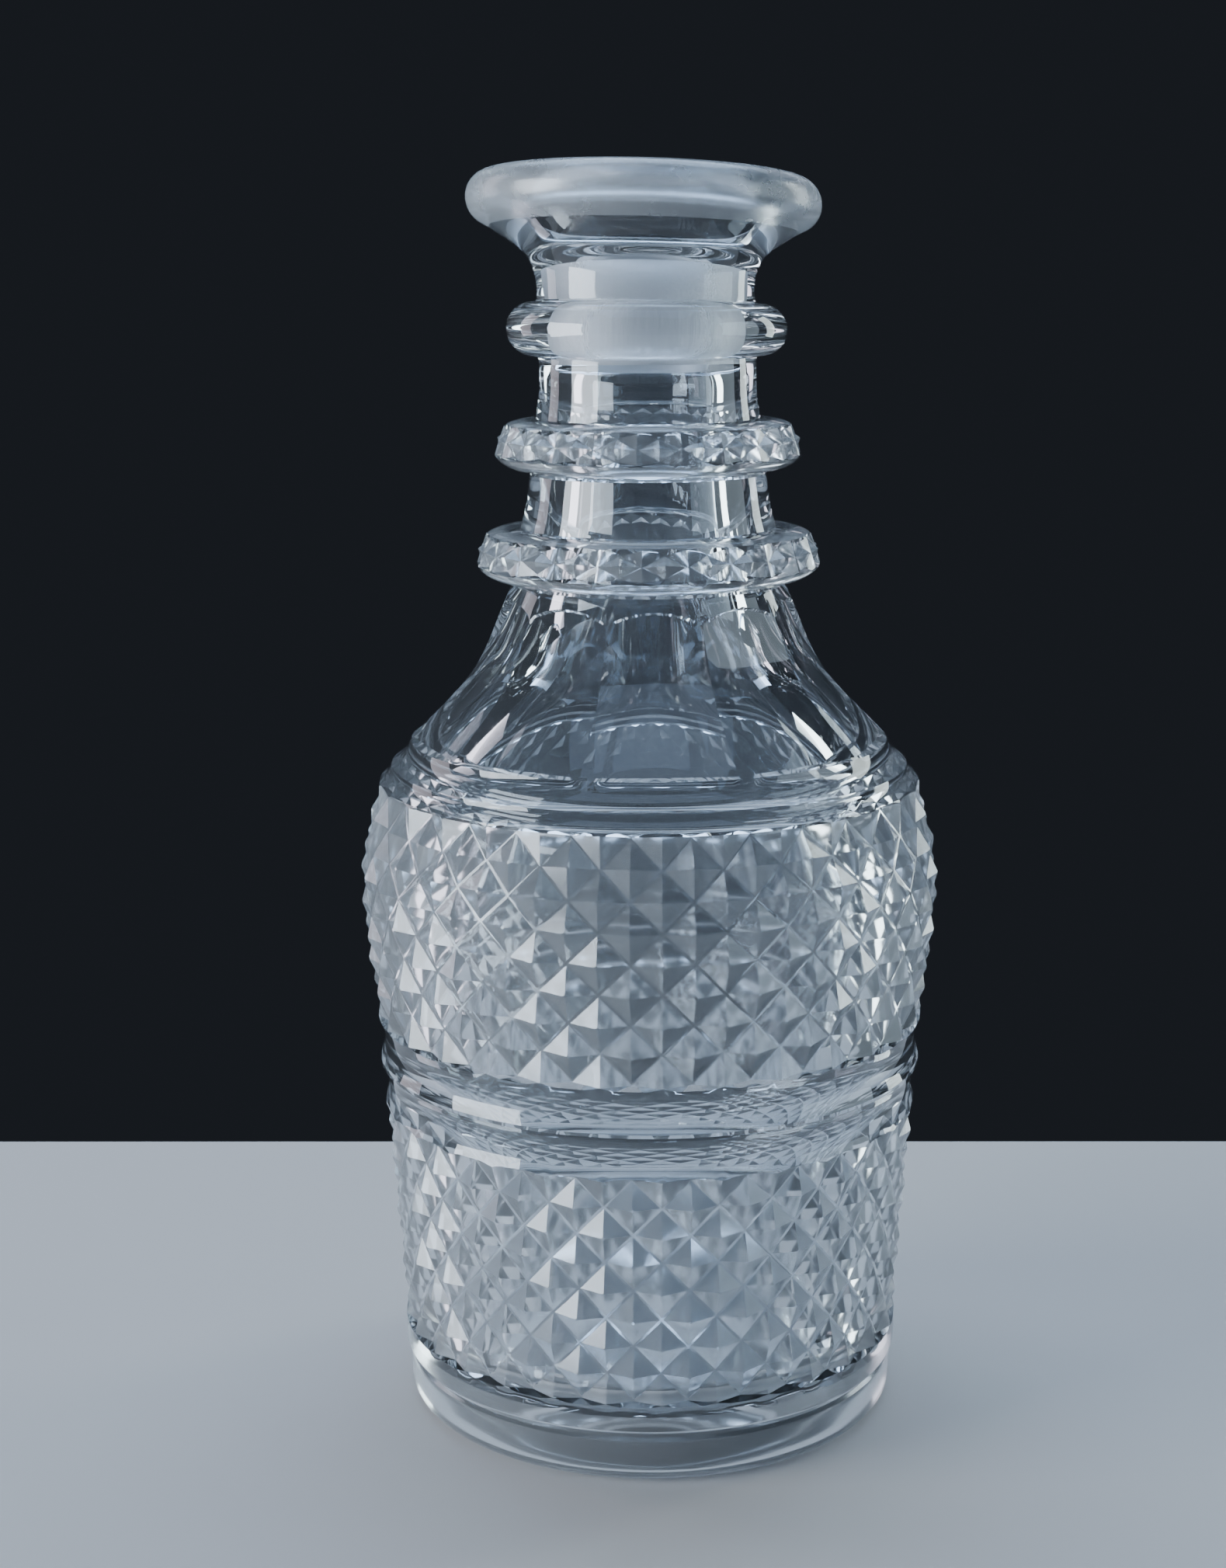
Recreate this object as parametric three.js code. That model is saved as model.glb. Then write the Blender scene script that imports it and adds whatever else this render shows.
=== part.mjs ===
// Cut crystal decanter with three neck rings and no stopper.
// Millimetres, +Z up. The origin is the centre of the circle that the foot stands on.
// Angles go round from the front (-Y) towards the right (+X).
import * as THREE from 'three';
import { mergeVertices } from 'three/addons/utils/BufferGeometryUtils.js';

// ---- driving dimensions: body widths. Each stretch is set in from the widest radius ----
const bodyRadius = 53.1;
const footSetIn = 7.5;
const lowerBandBottomSetIn = 6.6;
const lowerBandTopSetIn = 3.7;
const waistRidgeSetIn = 3;
const upperBandBottomSetIn = 2.7;
const upperBandSwellSetIn = 0.675;
const upperBandTopSetIn = 3.8;
const shoulderMiddleSetIn = 6.2;
const shoulderRidgeSetIn = 9.8;

// ---- driving dimensions: heights of the stretches, stacked from the foot up ----
const footHeight = 15.4;
const lowerBandHeight = 41.9;
const waistHeight = 17;
const upperBandHeight = 43.1;
const widestAboveUpperBand = 29.2;
const lowerHollowHeight = 3.5;
const upperHollowHeight = 4.4;
const shoulderHeight = 26.9;
const neckLowerHeight = 16.3;
const neckMiddleHeight = 19;
const neckUpperHeight = 18;
const lipHeight = 14.6;

// ---- driving dimensions: foot ----
const footEdgeRound = 3.4;
const footBandTop = 8.2;
const footGrooveDepth = 0.6;
const footGrooveHeight = 1.8;
const pontilRadius = 15;
const pontilDepth = 2.2;
const pontilMiddleRadius = 9;
const pontilMiddleDepth = 1.5;

// ---- driving dimensions: neck and lip ----
const neckFootRadius = 25;
const neckLowerRadius = 21.7;
const neckMiddleRadius = 19.3;
const neckTopRadius = 19.2;
const lipRadius = 31.2;
const lipThickness = 9;
const lipRollWidth = 8.6;
const lipRollStart = -60;
const lipRollEnd = 140;
const lipUndercut = 3.9;
const lipDishEdge = 1.4;
const lipDishDrop = 0.8;
const throatRound = 1;
const lipLeanBack = 4.5;
const lipLeanRight = 1.7;
const lipShiftLeft = 0.7;
const lipLeanLength = 32.4;
// the flare under the lip: shares of its reach outwards and of the lip's height above the neck
const lipFlare = [[0.08, 0.22], [0.26, 0.39], [0.6, 0.53]];
const lipFlareEndDrop = 0.3;

// ---- driving dimensions: the hollow inside ----
const bodyWall = 7;
const shoulderWall = 8.8;
const neckFootWall = 5.5;
const baseThickness = 9.5;
const cavityFloorDish = 1;
const cavityCornerRound = 9;
const cavityWidestBelowBodyWidest = 9;
const cavityTopSetIn = 1.2;
const cavityBelowRidge = 1.5;
const cavityShoulderShare = 0.4;
const boreAboveNeckFoot = 1;
const boreRadius = 11.5;
const boreWidening = 3;
const boreEasing = 0.5;
const groundZoneStep = 2;
const groundZoneLength = 18;
const groundZoneBelowLip = 9.4;
const groundZoneTaper = 0.5;

// ---- driving dimensions: wheel cutting ----
const diamondsAround = 30;
const diamondRows = 4;
const diamondCutDepth = 1.6;
const waistHollowDepth = 0.9;
const lowerHollowDepth = 0.35;
const upperHollowDepth = 0.7;
const flutesAround = 10;
const fluteCutDepth = 1.6;
const fluteStepHeight = 0.9;
const fluteFade = 2.9;
const fluteBelowNeck = 0.7;
const fluteMouthStep = 0.15;
// the sweep of the shoulder: shares of its reach that are left at mid-height and at the flutes' top
const shoulderSweepMiddle = 0.37;
const shoulderSweepTop = 0.065;
const cutPhase = 20.5;

// ---- driving dimensions: neck rings. Each stands on its own stretch of the neck ----
const ringGap = 0.3;
const ringFillet = 0.6;
const lowerCutRing = { above: 6.5, projection: 8, thickness: 9, diamonds: 24 };
const upperCutRing = { above: 9.6, projection: 7.6, thickness: 8.8, diamonds: 22 };
const plainRing = { above: 10.4, projection: 5.65, thickness: 9.4 };
const ringCutDepth = 1.1;
const ringCutAngle = 38;
const ringPlainAngle = 52;
const ringCutRise = 14;

// ---- heights and radii worked out from them ----
const lowerBandBottom = footHeight;
const lowerBandTop = lowerBandBottom + lowerBandHeight;
const waistRidge = lowerBandTop + waistHeight / 2;
const upperBandBottom = lowerBandTop + waistHeight;
const bodyWidest = upperBandBottom + widestAboveUpperBand;
const upperBandTop = upperBandBottom + upperBandHeight;
const shoulderMiddle = upperBandTop + lowerHollowHeight;
const shoulderRidge = shoulderMiddle + upperHollowHeight;
const neckFoot = shoulderRidge + shoulderHeight;
const fluteTop = neckFoot - fluteBelowNeck - fluteFade;
const neckLowerTop = neckFoot + neckLowerHeight;
const neckMiddleTop = neckLowerTop + neckMiddleHeight;
const neckTop = neckMiddleTop + neckUpperHeight;
const lipCentre = neckTop + lipHeight;
const groundZoneTop = lipCentre - groundZoneBelowLip;
const groundZoneBottom = groundZoneTop - groundZoneLength;
const footRadius = bodyRadius - footSetIn;
const lowerBandBottomRadius = bodyRadius - lowerBandBottomSetIn;
const lowerBandTopRadius = bodyRadius - lowerBandTopSetIn;
const waistRidgeRadius = bodyRadius - waistRidgeSetIn;
const upperBandBottomRadius = bodyRadius - upperBandBottomSetIn;
const upperBandTopRadius = bodyRadius - upperBandTopSetIn;
const shoulderMiddleRadius = bodyRadius - shoulderMiddleSetIn;
const shoulderRidgeRadius = bodyRadius - shoulderRidgeSetIn;

const colours = { crystal: 0xc4cddb, ring: 0xd0d8e2 };

// A profile point: radius, height and the kind of cutting that crosses it.
const at = (radius, height, cut = null) => ({ radius, height, cut });

// Points along a smooth curve through the given [radius, height] pairs, evenly spaced.
function along(pairs, steps) {
  const curve = new THREE.SplineCurve(pairs.map(([r, h]) => new THREE.Vector2(r, h)));
  return curve.getSpacedPoints(steps).map((p) => at(p.x, p.y));
}

// Points on an elliptical arc, from one angle to another in degrees.
function arc(centreRadius, centreHeight, halfWidth, halfHeight, from, to, steps) {
  return Array.from({ length: steps + 1 }, (_, i) => {
    const angle = THREE.MathUtils.degToRad(from + ((to - from) * i) / steps);
    return at(centreRadius + halfWidth * Math.cos(angle), centreHeight + halfHeight * Math.sin(angle));
  });
}

// A band of points across which mitre cuts cross: each row takes its outward normal,
// so that a cut goes straight into the glass even where the shoulder turns in.
function diamondBand(pairs, halfRows) {
  const curve = new THREE.SplineCurve(pairs.map(([r, h]) => new THREE.Vector2(r, h)));
  return Array.from({ length: halfRows + 1 }, (_, row) => {
    const point = curve.getPointAt(row / halfRows);
    const tangent = curve.getTangentAt(row / halfRows);
    return at(point.x, point.y, { type: 'diamond', row, normal: [tangent.y, -tangent.x] });
  });
}

// Turns a profile into a closed solid and cuts it: at every second point of a diamond row
// the surface drops by the cut depth, and the triangles' diagonals follow the cuts.
function turnAndCut(profile, segments, diamondDepth) {
  const count = profile.length;
  const outline = profile.map((p) => new THREE.Vector2(p.radius, p.height));
  const lathe = new THREE.LatheGeometry(outline, segments);
  const position = lathe.attributes.position;
  const index = [];
  for (let i = 0; i <= segments; i++) {
    const angle = (2 * Math.PI * (i % segments)) / segments;
    for (let j = 0; j < count; j++) {
      const { radius, height, cut } = profile[j];
      let r = radius;
      let h = height;
      if (cut?.type === 'diamond' && (i + cut.row) % 2 === 0) {
        r -= diamondDepth * cut.normal[0];
        h -= diamondDepth * cut.normal[1];
      }
      if (cut?.type === 'flute') {
        const across = 2 * (((i * flutesAround) / segments) % 1) - 1;
        r -= cut.depth * (1 - across * across);
      }
      position.setXYZ(i * count + j, r * Math.sin(angle), h, r * Math.cos(angle));
    }
  }
  for (let i = 0; i < segments; i++) {
    for (let j = 0; j < count - 1; j++) {
      const a = i * count + j;
      const b = a + count;
      const c = b + 1;
      const d = a + 1;
      const row = profile[j].cut?.type === 'diamond' ? profile[j].cut.row : 1;
      if ((i + row) % 2 === 0) {
        index.push(a, b, c, a, c, d);
      } else {
        index.push(a, b, d, c, d, b);
      }
    }
  }
  lathe.setIndex(index);
  lathe.deleteAttribute('normal');
  lathe.deleteAttribute('uv');
  const solid = mergeVertices(lathe, 1e-4);
  dropEmptyTriangles(solid);
  solid.rotateX(Math.PI / 2);
  solid.rotateZ(THREE.MathUtils.degToRad(cutPhase));
  leanLip(solid);
  return solid;
}

// Triangles that shrink to a line at the axis are left out.
function dropEmptyTriangles(geometry) {
  const old = geometry.index.array;
  const kept = [];
  for (let i = 0; i < old.length; i += 3) {
    const [a, b, c] = [old[i], old[i + 1], old[i + 2]];
    if (a !== b && b !== c && c !== a) kept.push(a, b, c);
  }
  geometry.setIndex(kept);
}

// The lip was tooled by hand and leans a little to the back and right. The lean grows
// smoothly, over lipLeanLength, to its full angle at the middle of the lip, and the lip
// sits a little left of the axis.
function leanLip(geometry) {
  const position = geometry.attributes.position;
  const slopeBack = Math.tan(THREE.MathUtils.degToRad(lipLeanBack));
  const slopeRight = Math.tan(THREE.MathUtils.degToRad(lipLeanRight));
  for (let i = 0; i < position.count; i++) {
    const [x, y, z] = [position.getX(i), position.getY(i), position.getZ(i)];
    const share = THREE.MathUtils.smoothstep(z, lipCentre - lipLeanLength, lipCentre);
    position.setX(i, x - share * lipShiftLeft);
    position.setZ(i, z - share * (y * slopeBack + x * slopeRight));
  }
}

// ---- decanter body: outside from the base centre up, then inside back down ----
const neckLine = [
  [neckFootRadius, neckFoot],
  [neckLowerRadius, neckLowerTop],
  [neckMiddleRadius, neckMiddleTop],
  [neckTopRadius, neckTop],
];

function neckRadiusAt(height) {
  const k = neckLine.findIndex(([, h], i) => i > 0 && height <= h);
  const [r0, h0] = neckLine[k - 1];
  const [r1, h1] = neckLine[k];
  return r0 + ((r1 - r0) * (height - h0)) / (h1 - h0);
}

// The deepest point of a shallow hollow cut between two ridges.
function hollowBetween(r0, h0, r1, h1, depth) {
  const length = Math.hypot(r1 - r0, h1 - h0);
  const normal = [(h1 - h0) / length, (r0 - r1) / length];
  return at((r0 + r1) / 2 - depth * normal[0], (h0 + h1) / 2 - depth * normal[1]);
}

function footAndLowerBand() {
  const edgeCentre = footRadius - footEdgeRound;
  return [
    at(0, pontilDepth),
    at(pontilMiddleRadius, pontilMiddleDepth),
    at(pontilRadius, 0),
    ...arc(edgeCentre, footEdgeRound, footEdgeRound, footEdgeRound, -90, 0, 4),
    at(footRadius, footBandTop),
    at(footRadius - footGrooveDepth, footBandTop + footGrooveHeight / 2),
    at(footRadius + footGrooveDepth, footBandTop + footGrooveHeight),
    ...diamondBand([
      [lowerBandBottomRadius, lowerBandBottom],
      [lowerBandTopRadius, lowerBandTop],
    ], 2 * diamondRows),
  ];
}

function waist() {
  const ridge = [waistRidgeRadius, waistRidge];
  return [
    hollowBetween(lowerBandTopRadius, lowerBandTop, ...ridge, waistHollowDepth),
    at(...ridge),
    hollowBetween(...ridge, upperBandBottomRadius, upperBandBottom, waistHollowDepth),
  ];
}

function upperBandAndHollows() {
  const middle = [shoulderMiddleRadius, shoulderMiddle];
  const ridge = [shoulderRidgeRadius, shoulderRidge];
  const swelling = upperBandBottom + widestAboveUpperBand / 2;
  const swellingRadius = bodyRadius - upperBandSwellSetIn;
  return [
    ...diamondBand([
      [upperBandBottomRadius, upperBandBottom],
      [swellingRadius, swelling],
      [bodyRadius, bodyWidest],
      [upperBandTopRadius, upperBandTop],
    ], 2 * diamondRows),
    hollowBetween(upperBandTopRadius, upperBandTop, ...middle, lowerHollowDepth),
    at(...middle),
    hollowBetween(...middle, ...ridge, upperHollowDepth),
    at(...ridge),
  ];
}

function flutedShoulder() {
  const start = shoulderRidge + fluteStepHeight;
  const sweep = shoulderRidgeRadius - neckFootRadius;
  const line = [
    [shoulderRidgeRadius - fluteStepHeight, start],
    [neckFootRadius + shoulderSweepMiddle * sweep, (start + fluteTop) / 2],
    [neckFootRadius + shoulderSweepTop * sweep, fluteTop],
  ];
  const rows = along(line, 5).map((p) => at(p.radius, p.height, { type: 'flute', depth: fluteCutDepth }));
  return [...rows, at(neckFootRadius + fluteMouthStep, fluteTop + fluteFade)];
}

function lipAndThroat() {
  const half = lipThickness / 2;
  const rollHalf = lipRollWidth / 2;
  const rollCentre = lipRadius - rollHalf;
  const throat = boreRadius + groundZoneTaper;
  const dishEdge = rollCentre - rollHalf;
  const flareReach = lipRadius - lipUndercut - neckTopRadius;
  return [
    ...along([
      ...lipFlare.map(([out, up]) => [neckTopRadius + out * flareReach, neckTop + up * lipHeight]),
      [lipRadius - lipUndercut, lipCentre - half - lipFlareEndDrop],
    ], 4),
    ...arc(rollCentre, lipCentre, rollHalf, half, lipRollStart, lipRollEnd, 8),
    at(dishEdge - lipDishEdge, lipCentre - lipDishDrop / 2),
    at((dishEdge + throat) / 2, (lipCentre + groundZoneTop) / 2 - lipDishDrop),
    at(throat + throatRound, groundZoneTop + throatRound),
    at(throat, groundZoneTop),
  ];
}

function hollowInside() {
  const corner = cavityCornerRound;
  const floorRadius = lowerBandBottomRadius - bodyWall - corner;
  const floor = baseThickness;
  return [
    at(boreRadius - groundZoneTaper, groundZoneBottom),
    at(boreRadius, groundZoneBottom - groundZoneStep),
    at(boreRadius + boreEasing, neckLowerTop),
    ...along([
      [boreRadius + boreWidening, neckFoot + boreAboveNeckFoot],
      [neckFootRadius - neckFootWall, neckFoot - cavityShoulderShare * shoulderHeight],
      [shoulderRidgeRadius - shoulderWall, shoulderRidge - cavityBelowRidge],
      [upperBandTopRadius - bodyWall - cavityTopSetIn, upperBandTop - bodyWall],
      [bodyRadius - bodyWall, bodyWidest - cavityWidestBelowBodyWidest],
    ], 8),
    at(waistRidgeRadius - bodyWall, lowerBandTop),
    ...arc(floorRadius, floor + corner, corner, corner, 0, -90, 4),
    at(0, floor - cavityFloorDish),
  ];
}

const bodyProfile = [
  ...footAndLowerBand(),
  ...waist(),
  ...upperBandAndHollows(),
  ...flutedShoulder(),
  ...neckLine.map(([r, h]) => at(r, h)),
  ...lipAndThroat(),
  ...hollowInside(),
];
const bodyGeometry = turnAndCut(bodyProfile, 2 * diamondsAround, diamondCutDepth);

// ---- neck rings: closed sections that clear the neck by ringGap ----
function ringSection(ring, foot) {
  const middle = foot + ring.above;
  const half = ring.thickness / 2;
  const bottom = middle - half;
  const top = middle + half;
  const innerBottom = at(neckRadiusAt(bottom) + ringGap, bottom);
  const innerTop = at(neckRadiusAt(top) + ringGap, top);
  const centre = Math.max(innerBottom.radius, innerTop.radius) + ringFillet;
  const bulge = neckRadiusAt(middle) + ring.projection - centre;
  const edge = (from, to, steps) => arc(centre, middle, bulge, half, from, to, steps);
  if (!ring.diamonds) return [innerBottom, ...edge(-90, 90, 8), innerTop, innerBottom];
  const cut = edge(ringCutRise - ringCutAngle, ringCutRise + ringCutAngle, 2);
  cut.forEach((p, row) => {
    p.cut = { type: 'diamond', row, normal: [1, 0] };
  });
  const below = edge(-90, ringCutRise - ringPlainAngle, 2);
  const above = edge(ringCutRise + ringPlainAngle, 90, 2);
  return [innerBottom, ...below, ...cut, ...above, innerTop, innerBottom];
}

function ringGeometry(ring, foot) {
  const segments = ring.diamonds ? 2 * ring.diamonds : 48;
  return turnAndCut(ringSection(ring, foot), segments, ringCutDepth);
}

// ---- scene graph ----
function piece(name, geometry, color) {
  const material = new THREE.MeshStandardMaterial({ color, roughness: 0.05, metalness: 0 });
  const mesh = new THREE.Mesh(geometry, material);
  mesh.name = name;
  return mesh;
}

const group = new THREE.Group();
group.add(piece('decanter_body', bodyGeometry, colours.crystal));
group.add(piece('plain_neck_ring', ringGeometry(plainRing, neckMiddleTop), colours.ring));
group.add(piece('upper_cut_neck_ring', ringGeometry(upperCutRing, neckLowerTop), colours.ring));
group.add(piece('lower_cut_neck_ring', ringGeometry(lowerCutRing, neckFoot), colours.ring));

export default group;
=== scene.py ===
"""Looks of the cut crystal decanter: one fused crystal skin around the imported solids, and its stage."""

import math

import bpy
import numpy as np
from bpy.props import FloatProperty, FloatVectorProperty, IntProperty, PointerProperty
from mathutils import Matrix, Vector


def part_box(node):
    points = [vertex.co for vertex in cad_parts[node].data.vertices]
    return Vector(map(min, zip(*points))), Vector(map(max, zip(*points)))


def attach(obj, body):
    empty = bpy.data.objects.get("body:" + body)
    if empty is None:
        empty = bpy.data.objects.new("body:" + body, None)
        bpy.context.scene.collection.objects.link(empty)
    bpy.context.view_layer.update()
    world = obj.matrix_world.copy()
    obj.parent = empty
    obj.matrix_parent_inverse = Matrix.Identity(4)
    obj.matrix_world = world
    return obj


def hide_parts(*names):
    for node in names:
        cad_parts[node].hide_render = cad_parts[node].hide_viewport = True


bl_info = {
    "name": "Cut Crystal Decanter",
    "version": (1, 0, 0),
    "blender": (4, 5, 0),
    "location": "3D View > Sidebar > Decanter",
    "description": "Builds the crystal skin, its cutting and its stage around the packed decanter",
    "category": "Object",
}

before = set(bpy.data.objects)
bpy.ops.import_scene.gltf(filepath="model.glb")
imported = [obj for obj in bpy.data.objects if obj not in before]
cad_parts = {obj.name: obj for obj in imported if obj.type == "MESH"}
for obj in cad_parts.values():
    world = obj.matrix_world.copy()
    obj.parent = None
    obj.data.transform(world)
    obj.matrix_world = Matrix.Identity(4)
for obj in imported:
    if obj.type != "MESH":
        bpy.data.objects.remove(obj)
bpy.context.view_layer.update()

MM = 0.001
FINE = 240
RINGS = (("lower_cut_neck_ring", 24), ("upper_cut_neck_ring", 22), ("plain_neck_ring", 0))
CRYSTAL_NODES = ("decanter_body", *(name for name, diamonds in RINGS))
LEAN = {"length": 32.4, "back": 4.5, "right": 1.7, "shift": 0.7}


def lean_share(height, lip_centre):
    """How much of the lip's lean, from 0 to 1, is reached at a height."""
    share = np.clip((height - lip_centre + LEAN["length"]) / LEAN["length"], 0, 1)
    return share * share * (3 - 2 * share)


def ring_size(name, lip_centre):
    """Height of the middle, outer radius and thickness of a neck ring, in millimetres, without its lean."""
    low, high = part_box(name)
    height, radius = (low[2] + high[2]) / 2 / MM, (high[0] - low[0]) / 2 / MM
    slope = math.hypot(math.tan(math.radians(LEAN["back"])), math.tan(math.radians(LEAN["right"])))
    rise = 2 * radius * slope * float(lean_share(height, lip_centre))
    return {"height": height, "radius": radius, "thickness": (high[2] - low[2]) / MM - rise}


# ---------------------------------------------------------------- settings


class DecanterShape(bpy.types.PropertyGroup):
    """Sizes of the turned and cut crystal, in millimetres along and around the axis."""

    foot_radius: FloatProperty(name="Foot radius", description="Outer radius of the foot", default=45.6)
    lower_band_bottom: FloatProperty(
        name="Lower band bottom", description="Height where the lower diamonds start", default=15.4)
    lower_band_top: FloatProperty(
        name="Lower band top", description="Height where the lower diamonds end", default=57.3)
    upper_band_bottom: FloatProperty(
        name="Upper band bottom", description="Height where the upper diamonds start", default=74.3)
    upper_band_top: FloatProperty(
        name="Upper band top", description="Height where the upper diamonds end", default=117.4)
    body_radius: FloatProperty(name="Body radius", description="Widest radius, under the shoulder", default=53.1)
    shoulder_ridge: FloatProperty(
        name="Shoulder ridge", description="Height of the ridge that the flutes start from", default=125.3)
    wall: FloatProperty(name="Wall", description="Glass left between the crests and the hollow", default=7.0)
    base: FloatProperty(name="Base", description="Thickness of the glass under the hollow", default=9.5)


class DecanterCutting(bpy.types.PropertyGroup):
    """The wheel cutting."""

    diamonds_around: IntProperty(name="Diamonds around", description="Diamonds in one row", default=30)
    diamond_rows: IntProperty(name="Diamond rows", description="Rows of diamonds in each band", default=4)
    depth: FloatProperty(name="Mitre depth", description="Depth of the mitre cuts, mm", default=1.6)
    ring_depth: FloatProperty(name="Ring mitre depth", description="Depth of the cuts on the rings, mm", default=1.1)
    groove: FloatProperty(
        name="Groove width", description="Share of each diamond taken by the rounded groove", default=0.07)
    tip: FloatProperty(name="Tip", description="Share of each diamond left as its blunted point", default=0.07)
    flutes: IntProperty(name="Flutes", description="Flutes round the shoulder", default=10)
    flute_depth: FloatProperty(name="Flute depth", description="Depth of the flutes, mm", default=1.6)
    phase: FloatProperty(name="Phase", description="Turn of the cutting about the axis, degrees", default=20.5)
    uneven: FloatProperty(name="Unevenness", description="Spread of the points' heights, as a share", default=0.06)
    seed: IntProperty(name="Seed", description="Seed of that spread", default=7)


class DecanterLook(bpy.types.PropertyGroup):
    """Colours of the crystal and strength of its light."""

    crystal: FloatVectorProperty(
        name="Crystal", description="Tint of the clear crystal", subtype="COLOR", size=3,
        default=(0.90, 0.95, 1.0))
    ground: FloatVectorProperty(
        name="Ground crystal", description="Tint of the ground bore", subtype="COLOR", size=3,
        default=(0.90, 0.915, 0.94))
    clear: FloatProperty(
        name="Clearness", description="Share of light that passes; the rest is the haze of old, worn crystal",
        default=0.985)
    cut_clear: FloatProperty(
        name="Clearness of the cutting", description="The same for the wheel-cut diamonds", default=0.89)
    worn_clear: FloatProperty(
        name="Clearness of the lip", description="The same for the worn roll of the lip", default=0.84)
    ground_clear: FloatProperty(
        name="Clearness of the ground bore", description="The same for the ground bore", default=0.72)
    ior: FloatProperty(name="IOR", description="Refractive index of lead crystal", default=1.545)
    floor: FloatVectorProperty(
        name="Floor", description="Colour of the plain floor", subtype="COLOR", size=3, default=(0.54, 0.51, 0.49))
    floor_edges: FloatVectorProperty(
        name="Floor edges", description="Left, right, front and back edges of the floor, m", size=4,
        default=(-0.5, 0.5, -0.6, 0.13))
    world: FloatVectorProperty(
        name="Room", description="Colour of the unlit room", subtype="COLOR", size=3, default=(0.012, 0.014, 0.018))


# ---------------------------------------------------------------- shader maths


class Socket:
    """A shader value that can be used in expressions."""

    def __init__(self, tree, link):
        self.tree = tree
        self.link = link

    def _math(self, operation, *values):
        return node(self.tree, "ShaderNodeMath", {"operation": operation}, values)

    def __add__(self, other):
        return self._math("ADD", self, other)

    __radd__ = __add__

    def __mul__(self, other):
        return self._math("MULTIPLY", self, other)

    __rmul__ = __mul__

    def __sub__(self, other):
        return self._math("SUBTRACT", self, other)

    def __rsub__(self, other):
        return self._math("SUBTRACT", other, self)

    def __gt__(self, other):
        return self._math("GREATER_THAN", self, other)


def node(tree, kind, settings=None, values=(), output=0):
    """Adds a node, sets its settings first, then gives its sockets values or links."""
    made = tree.nodes.new(kind)
    for key, value in (settings or {}).items():
        if key == "stops":
            for element, (place, colour) in zip(made.color_ramp.elements, value):
                element.position = place
                element.color = (*colour, 1.0)
        else:
            setattr(made, key, value)
    pairs = values.items() if isinstance(values, dict) else enumerate(values)
    for key, value in pairs:
        if isinstance(value, Socket):
            tree.links.new(value.link, made.inputs[key])
        else:
            made.inputs[key].default_value = value
    return Socket(tree, made.outputs[output])


def new_material(name):
    """An empty material with its Principled shader; returns material, tree and shader."""
    material = bpy.data.materials.new(name)
    material.use_nodes = True
    tree = material.node_tree
    return material, tree, tree.nodes["Principled BSDF"]


# scales are per metre of the object, distances in metres
WEAR = {"grain": 140.0, "patches": 26.0, "share": 0.34, "roughness": 0.05}
WAVE = {"scale": 38.0, "strength": 0.10, "distance": 0.002}
GROUND = {"grain": 900.0, "roughness": 0.45, "spread": 0.2, "strength": 0.35, "distance": 0.0004}
ROUGHNESS = {"clear": 0.012, "cut": 0.12, "worn": 0.25}


def crystal_material(name, look, clear, roughness):
    """Lead crystal with a little wear, and the waviness of blown and wheel-polished glass."""
    material, tree, shader = new_material(name)
    place = node(tree, "ShaderNodeTexCoord", output="Object")
    wear = node(tree, "ShaderNodeTexNoise", {}, {"Vector": place, "Scale": WEAR["grain"], "Detail": 4.0})
    patches = node(tree, "ShaderNodeTexNoise", {}, {"Vector": place, "Scale": WEAR["patches"], "Detail": 2.0})
    worn = (wear * patches > WEAR["share"]) * WEAR["roughness"]
    shader.inputs["Base Color"].default_value = (*look.crystal, 1.0)
    shader.inputs["IOR"].default_value = look.ior
    shader.inputs["Transmission Weight"].default_value = clear
    tree.links.new((worn + roughness).link, shader.inputs["Roughness"])
    wave = node(tree, "ShaderNodeTexNoise", {}, {"Vector": place, "Scale": WAVE["scale"], "Detail": 1.0})
    bump = node(tree, "ShaderNodeBump", {}, {
        "Height": wave, "Strength": WAVE["strength"], "Distance": WAVE["distance"]})
    tree.links.new(bump.link, shader.inputs["Normal"])
    return material


def ground_material(look):
    """The bore ground grey inside the top of the neck, where a stopper seats."""
    material, tree, shader = new_material("ground_crystal")
    place = node(tree, "ShaderNodeTexCoord", output="Object")
    grain = node(tree, "ShaderNodeTexNoise", {}, {"Vector": place, "Scale": GROUND["grain"], "Detail": 3.0})
    shader.inputs["Base Color"].default_value = (*look.ground, 1.0)
    shader.inputs["IOR"].default_value = look.ior
    shader.inputs["Transmission Weight"].default_value = look.ground_clear
    tree.links.new((grain * GROUND["spread"] + GROUND["roughness"]).link, shader.inputs["Roughness"])
    bump = node(tree, "ShaderNodeBump", {}, {
        "Height": grain, "Strength": GROUND["strength"], "Distance": GROUND["distance"]})
    tree.links.new(bump.link, shader.inputs["Normal"])
    return material


# ---------------------------------------------------------------- the turned blank

FINISHES = ("clear", "cut", "worn", "ground")


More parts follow.
